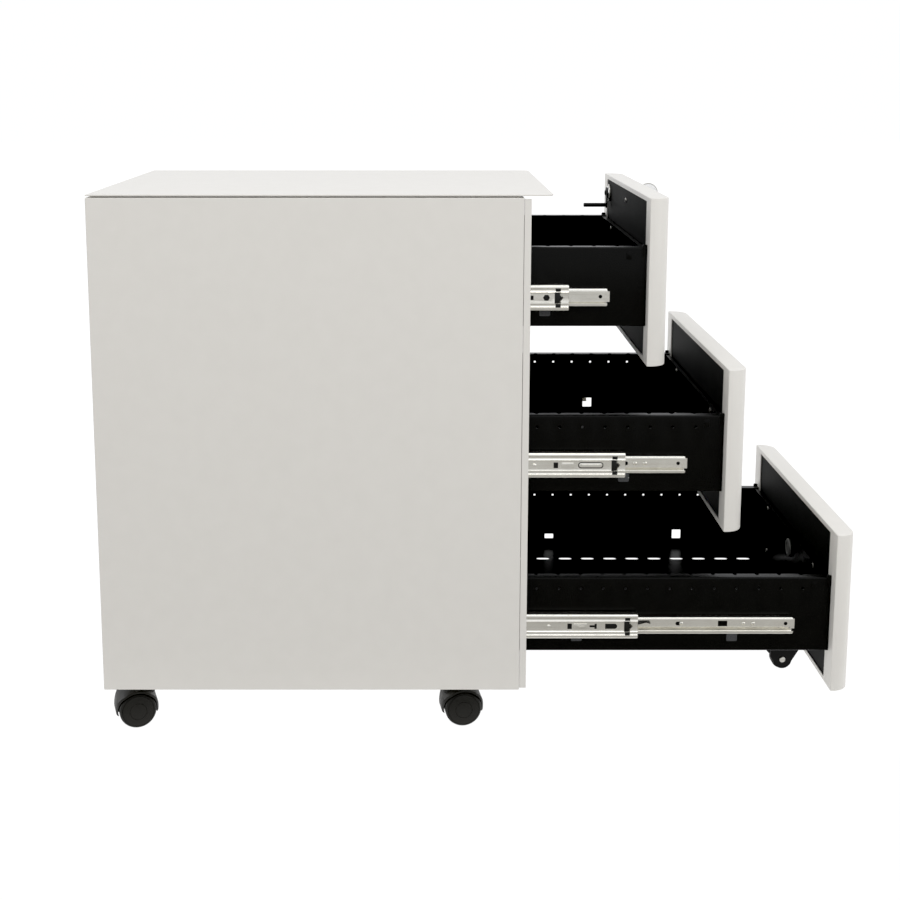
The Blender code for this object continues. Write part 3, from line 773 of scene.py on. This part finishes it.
def runners():
    """The three members of each runner and the cage plastic that shows between them."""
    for name in DRAWERS:
        trims = end_trims(CABINET_HALF, 2.0 * MM)
        holes = [window(slot_shape((u, 0.0), 9.0, 4.6)) for u in (28.0, 124.0, 252.0, 372.0)]
        cabinet_steel = member(thick(CABINET_PATH, -SHEET), [*trims, *holes])

        mouth = [(8.5, -6.2), (15.2, -6.2), (15.2, 6.2), (8.5, 6.2), (8.5, 3.4), (5.4, 0.0), (8.5, -3.4)]
        holes = [window(shape) for shape in (mouth, *MIDDLE_HOLES[name])]
        section = [*MIDDLE_PATH, *reversed(MIDDLE_INNER)]
        steel = member(section, [*end_trims(MIDDLE_HALF, 2.2 * MM), *holes])
        cage, stamped = middle_details(name)
        middle_steel = joined([steel, *stamped])
        cage = joined(cage)

        trims = end_trims(DRAWER_HALF, 2.6 * MM, TIP)
        holes = [window(shape) for shape in DRAWER_HOLES[name]]
        steel = member(thick(DRAWER_PATH, SHEET), [*trims, *holes], tip_trims())
        dimple = [(0.0, 0.0), (2.4, 0.0), (2.2, 0.7), (1.4, 1.1), (1.0, 0.6), (0.0, 0.5)]
        dimples = rivets(dimple, DRAWER_FACE, (47.0, 58.0, 128.0, 210.0, 300.0, 370.0))
        drawer_steel = joined([steel, *dimples])

        carrier = f"{name}_middle_runners"
        for hand, side in HANDS:
            for part, mesh, body in (
                ("cabinet", cabinet_steel, "cabinet"),
                ("middle", middle_steel, carrier),
                ("drawer", drawer_steel, f"{name}_drawer"),
            ):
                node = f"{name}_{part}_runner_{hand}"
                shown = at_runner(mesh.copy(), node, side)
                piece(f"{name}_{part}_member_{hand}", shown, ZINC, body, [node])
            node = f"{name}_middle_runner_{hand}"
            for part, mesh in (("middle", cage.copy()), ("mouth", mouth_cage())):
                shown = at_runner(mesh, node, side)
                piece(f"{name}_{part}_cage_{hand}", shown, DELRIN, carrier)


def at_runner(bm, node, side):
    """A mesh made at the right-hand side's front end, moved to where a runner node stands."""
    low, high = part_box(node)
    return moved(flipped(bm, side), 0.0, low.y, (low.z + high.z) / 2)


def levers():
    """The black release lever ahead of each lower middle runner's mouth."""
    line = fillet([(-14.5, 1.8), (-10.0, 3.2), (-3.0, 1.2), (2.0, 0.6)], 4.0, 5)
    strap = thick([(u * MM, v * MM) for u, v in line], 1.1 * MM)
    for hand, side in HANDS:
        lever = at_runner(prism(strap, "X", 182.2 * MM, 186.8 * MM), f"bottom_middle_runner_{hand}", side)
        piece(f"bottom_release_lever_{hand}", lever, DELRIN, "bottom_drawer")


# ---- lock ----------------------------------------------------------------------
RING_FRONT, RING_BACK = -FRONT_DEPTH - 2.3 * MM, 1.6 * MM
CORE_BACK = RING_BACK + 0.3 * MM
PIN_DROP = 16.0 * MM         # the cam's pin below the lock's axis


def at_lock(bm):
    """A mesh made round the lock's axis, moved to its place in the top drawer's front."""
    low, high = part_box("top_drawer_front")
    return moved(bm, LOCK_X, high.y, low.z + LOCK_HEIGHT)


def lock_ring():
    face = RING_FRONT + 2.0 * MM
    ring = [(6.8 * MM, RING_FRONT + 0.3 * MM), (7.1 * MM, RING_FRONT), (10.9 * MM, RING_FRONT),
            (11.5 * MM, RING_FRONT + 0.2 * MM), (11.9 * MM, RING_FRONT + 0.8 * MM),
            (12.0 * MM, face), (9.0 * MM, face), (9.0 * MM, RING_BACK), (6.8 * MM, RING_BACK)]
    piece("lock_barrel", at_lock(turned(ring, "Y", steps=64)), CHROME, "top_drawer",
          ["lock_housing"])
    nut = prism(circle((0.0, 0.0), 11.2 * MM, 6, 30), "Y", -1.2 * MM, 1.2 * MM)
    hole = rod("Y", (0.0, 0.0), 9.2 * MM, -10.0 * MM, 10.0 * MM, 40)
    nut = softened(carved(nut, ("DIFFERENCE", hole)), 0.4 * MM, 2)
    piece("lock_nut", at_lock(nut), ZINC, "top_drawer")


def lock_core():
    end, r = RING_FRONT - 0.3 * MM, 6.5 * MM
    profile = [(0.0, end), (r - 0.5 * MM, end), (r, end + 0.5 * MM), (r, CORE_BACK), (0.0, CORE_BACK)]
    keyway = block((-1.2 * MM, end - 1.0 * MM, -3.7 * MM), (1.2 * MM, -3.0 * MM, 3.7 * MM))
    core = carved(turned(profile, "Y", steps=48), ("DIFFERENCE", keyway))
    piece("lock_core", at_lock(core), CHROME, "lock_cylinder", ["lock_plug"])


def key():
    """A flat key: a round recessed bow with a ring hole, and a cut and grooved blade."""
    bow_y, bow, blade, half = -FRONT_DEPTH - 29.0 * MM, 12.5 * MM, 3.4 * MM, 0.9 * MM
    neck = math.degrees(math.asin(blade / bow))
    cuts = [(-19.0, -3.4), (-16.5, -2.0), (-14.2, -2.6), (-12.0, -1.6), (-9.8, -2.8), (-8.0, -2.2),
            (-6.0, -3.4), (-4.5, -3.4)]
    outline = arc((bow_y, 0.0), bow, neck, 360 - neck, 48)
    outline += [(y * MM, z * MM) for y, z in cuts]
    outline.append((cuts[-1][0] * MM, blade))
    steps = [("DIFFERENCE", rod("X", (bow_y - 5.0 * MM, 0.0), 3.5 * MM, -2.0 * MM, 2.0 * MM, 32))]
    for low_x in (-1.1 * MM, 0.5 * MM):
        recess = rod("X", (bow_y, 0.0), 10.3 * MM, low_x, low_x + 0.6 * MM, 40)
        steps.append(("DIFFERENCE", recess))
    groove = block((0.5 * MM, -24.0 * MM, 0.2 * MM), (1.2 * MM, -3.0 * MM, 1.1 * MM))
    steps.append(("DIFFERENCE", groove))
    blank = softened(prism(outline, "X", -half, half), 0.4 * MM, 3)
    piece("key_in_lock", at_lock(carved(blank, *steps)), CHROME, "lock_cylinder",
          ["lock_key"], smooth=25)
    # Painted shade: a thin dark zinc ring laid over the bow's rim stands for the shaded edge of the chrome
    # bow; it is not a separate part of the key.
    edge = [(11.3, 0.80), (11.6, 1.05), (12.2, 1.05), (12.5, 0.70)]
    edge = [(radius * MM, -out * MM) for radius, out in edge]
    edge += [(radius, -out) for radius, out in reversed(edge)]
    piece("key_bow_painted_shade_ring", at_lock(turned(edge, "X", (bow_y, 0.0), 64)), DARK_ZINC, "lock_cylinder")


def lock_cam():
    front, thickness, r, end = CORE_BACK + 0.3 * MM, 2.0 * MM, 2.6 * MM, 33.0 * MM
    arm = arc((0.0, 0.0), 7.0 * MM, 0, 180, 20) + arc((0.0, -PIN_DROP), 4.0 * MM, 180, 360, 16)
    cam = softened(prism(arm, "Y", front, front + thickness), 0.3 * MM, 2)
    root = front + 1.0 * MM
    profile = [(0.0, root), (r, root), (r, end - 0.8 * MM), (r - 0.6 * MM, end), (0.0, end)]
    pin = turned(profile, "Y", (0.0, -PIN_DROP), 24)
    bolt = moved(rotated(screw_head(3.6 * MM, 1.8 * MM), 20, "Y"), y=front + thickness)
    piece("lock_cam_arm", [at_lock(part) for part in (cam, pin, bolt)], BLACK, "lock_cylinder",
          ["lock_cam"])


def lock():
    lock_ring()
    lock_core()
    key()
    lock_cam()
    carry_over(BLACK, 0.0002, "lock_bar")


# ---- castors -------------------------------------------------------------------
TRAIL, WHEEL_R = 12.0 * MM, 21.0 * MM


def hood():
    """A round cover over both wheels with a web between them, a stem socket and the axle."""
    axle = (TRAIL, WHEEL_R)
    half_width, web = 22.5 * MM, 3.0 * MM
    shell = prism(arc(axle, 24.4 * MM, -13, 193, 56), "X", -half_width, half_width)
    shell = softened(shell, 1.0 * MM, 3)
    steps = [
        ("INTERSECT", rod("Z", (0.0, TRAIL), 26.2 * MM, 0.0, 70.0 * MM, 96)),
        ("UNION", rod("Z", (0.0, 0.0), 10.0 * MM, 36.0 * MM, 52.0 * MM, 48)),
    ]
    for side in (-1, 1):
        low, high = side_to_side(side, web, half_width + 2.0 * MM)
        steps.append(("DIFFERENCE", rod("X", axle, WHEEL_R + 1.2 * MM, low, high, 72)))
    steps.append(("DIFFERENCE", rod("Z", (0.0, 0.0), 4.4 * MM, 41.2 * MM, 60.0 * MM, 24)))
    steps.append(("UNION", rod("X", axle, 3.0 * MM, -18.0 * MM, 18.0 * MM, 24)))
    return carved(shell, *steps)


def wheel(side):
    """A twin wheel's half: hub, rim, tyre and a crowned outer disc with two fine rings."""
    profile = [
        (0.0, 18.3), (3.3, 18.3), (3.3, 3.5), (19.0, 3.5), (20.3, 4.1), (21.0, 5.5), (21.0, 16.8),
        (20.6, 18.0), (19.6, 19.2), (18.4, 20.0), (18.2, 19.6), (17.8, 19.6), (17.5, 20.2),
        (16.0, 20.6), (13.0, 21.0), (10.0, 21.2), (9.8, 20.9), (9.4, 20.9), (9.1, 21.3), (6.0, 21.5),
        (0.0, 21.5),
    ]
    return turned([(radius * MM, side * x * MM) for radius, x in profile], "X", steps=72)


def castors():
    """Four castors, each turned to the heading that its wheels' axis gives."""
    axes = {joint["name"]: joint["axis"] for joint in frame["joints"]}
    for end in ("back", "front"):
        for hand, _ in HANDS:
            name = f"castor_{end}_{hand}"
            low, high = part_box(f"{name}_stem")
            x, y = (low.x + high.x) / 2, (low.y + high.y) / 2
            axle = axes[f"wheel_{end}_{hand}_a"]
            turn = math.degrees(math.atan2(axle[1], axle[0]))
            cover = moved(rotated(hood(), turn, "Z"), x, y)
            piece(f"{name}_cover", cover, NYLON, name, [f"{name}_hood"], smooth=40)
            for letter, side in (("a", -1), ("b", 1)):
                tyre = moved(wheel(side), 0.0, TRAIL, WHEEL_R)
                tyre = moved(rotated(tyre, turn, "Z"), x, y)
                piece(f"{name}_tyre_{letter}", tyre, NYLON, f"{name}_wheel_{letter}",
                      [f"{name}_wheel_{letter}"], smooth=28)
            carry_over(ZINC, 0.0003, f"{name}_stem")


def antitip():
    """The anti-tip wheel, turned with a raised hub and tyre, in the bracket of the frame."""
    carry_over(BLACK, 0.0004, "antitip_bracket")
    carry_over(DARK_ZINC, 0.0002, "antitip_axle")
    low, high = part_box("antitip_wheel")
    y, z = (low.y + high.y) / 2, (low.z + high.z) / 2
    half = (high.x - low.x) / 2
    r = (high.z - low.z) / 2
    tyre = [(2.8, 0.0), (5.0, 0.0), (5.5, 0.6), (10.5, 0.6), (11.2, 0.0), (12.2, 0.4)]
    tyre = [(radius * MM, inset * MM - half) for radius, inset in tyre] + [(r, 1.6 * MM - half)]
    tyre += [(radius, -x) for radius, x in reversed(tyre)]
    piece("antitip_tyre", turned(tyre, "X", (y, z), 56), NYLON, "antitip_wheel",
          ["antitip_wheel"])


# ---- floor, lights and camera ----------------------------------------------------
def stage():
    """A white floor and world, and a grey card beside the object that only its light meets."""
    reach, card_reach, card_edge = 14.0, (-6.0, 3.5), -0.235
    ground = as_object("floor", block((-reach, -reach, -0.01), (reach, reach, 0.0)))
    ground.data.materials.append(floor_look())
    card = block((card_reach[0], -card_reach[1], 0.001), (card_edge, card_reach[1], 0.003))
    card = as_object("floor_flag", card)
    card.data.materials.append(plastic_look("flag", rgb(0.43, 0.42, 0.40), rgb(0.45, 0.44, 0.42), 0.9, 0.0))
    card.visible_camera = False
    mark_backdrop(ground, card)
    world = bpy.data.worlds.new("studio")
    bpy.context.scene.world = world
    world.use_nodes = True
    background = world.node_tree.nodes["Background"]
    background.inputs["Color"].default_value = rgb(1.0, 1.01, 1.035)
    background.inputs["Strength"].default_value = 1.0


def area_light(name, place, target, size, power, colour=(1.0, 1.0, 1.0)):
    data = bpy.data.lights.new(name, "AREA")
    data.shape = "RECTANGLE"
    data.size, data.size_y = size
    data.energy = power
    data.color = colour
    item = bpy.data.objects.new(name, data)
    item.location = place
    aim = Vector(target) - Vector(place)
    item.rotation_euler = aim.to_track_quat("-Z", "Y").to_euler()
    bpy.context.scene.collection.objects.link(item)


def sun_light():
    data = bpy.data.lights.new("overhead", "SUN")
    data.energy = 0.14
    data.angle = math.radians(70)
    data.color = (0.93, 0.975, 1.0)
    item = bpy.data.objects.new("overhead", data)
    item.rotation_euler = (math.radians(-14), math.radians(6), 0.0)
    bpy.context.scene.collection.objects.link(item)


def camera():
    data = bpy.data.cameras.new("camera")
    data.lens = 56.38
    data.sensor_width = 36.0
    data.shift_x = 0.028
    data.shift_y = -0.155
    data.clip_end = 60.0
    item = bpy.data.objects.new("camera", data)
    item.location = (-1.6944, 0.0588, 0.7421)
    item.rotation_euler = (math.radians(80.5), 0.0, math.radians(-90.0))
    bpy.context.scene.collection.objects.link(item)
    bpy.context.scene.camera = item


def display_tone():
    """Plain display colours with a slightly raised black point."""
    view = bpy.context.scene.view_settings
    view.view_transform = "Standard"
    view.use_curve_mapping = True
    view.curve_mapping.black_level = (0.0055, 0.0055, 0.0055)
    view.curve_mapping.update()


camera()
stage()
sun_light()
area_light("front_fill", (-1.35, -1.65, 0.7), (-0.1, -0.6, 0.3), (1.0, 0.9), 3.0, (0.97, 0.99, 1.0))
area_light("strip", (-1.5, -0.1, 1.9), (0.0, -0.1, 0.30), (2.6, 0.30), 7.0, (1.0, 0.97, 0.92))
cabinet()
drawers()
runners()
levers()
lock()
castors()
antitip()
display_tone()

boxes = {"cad": cad_box, "visual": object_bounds()}
{key: [list(corner) for corner in pair] for key, pair in boxes.items()}
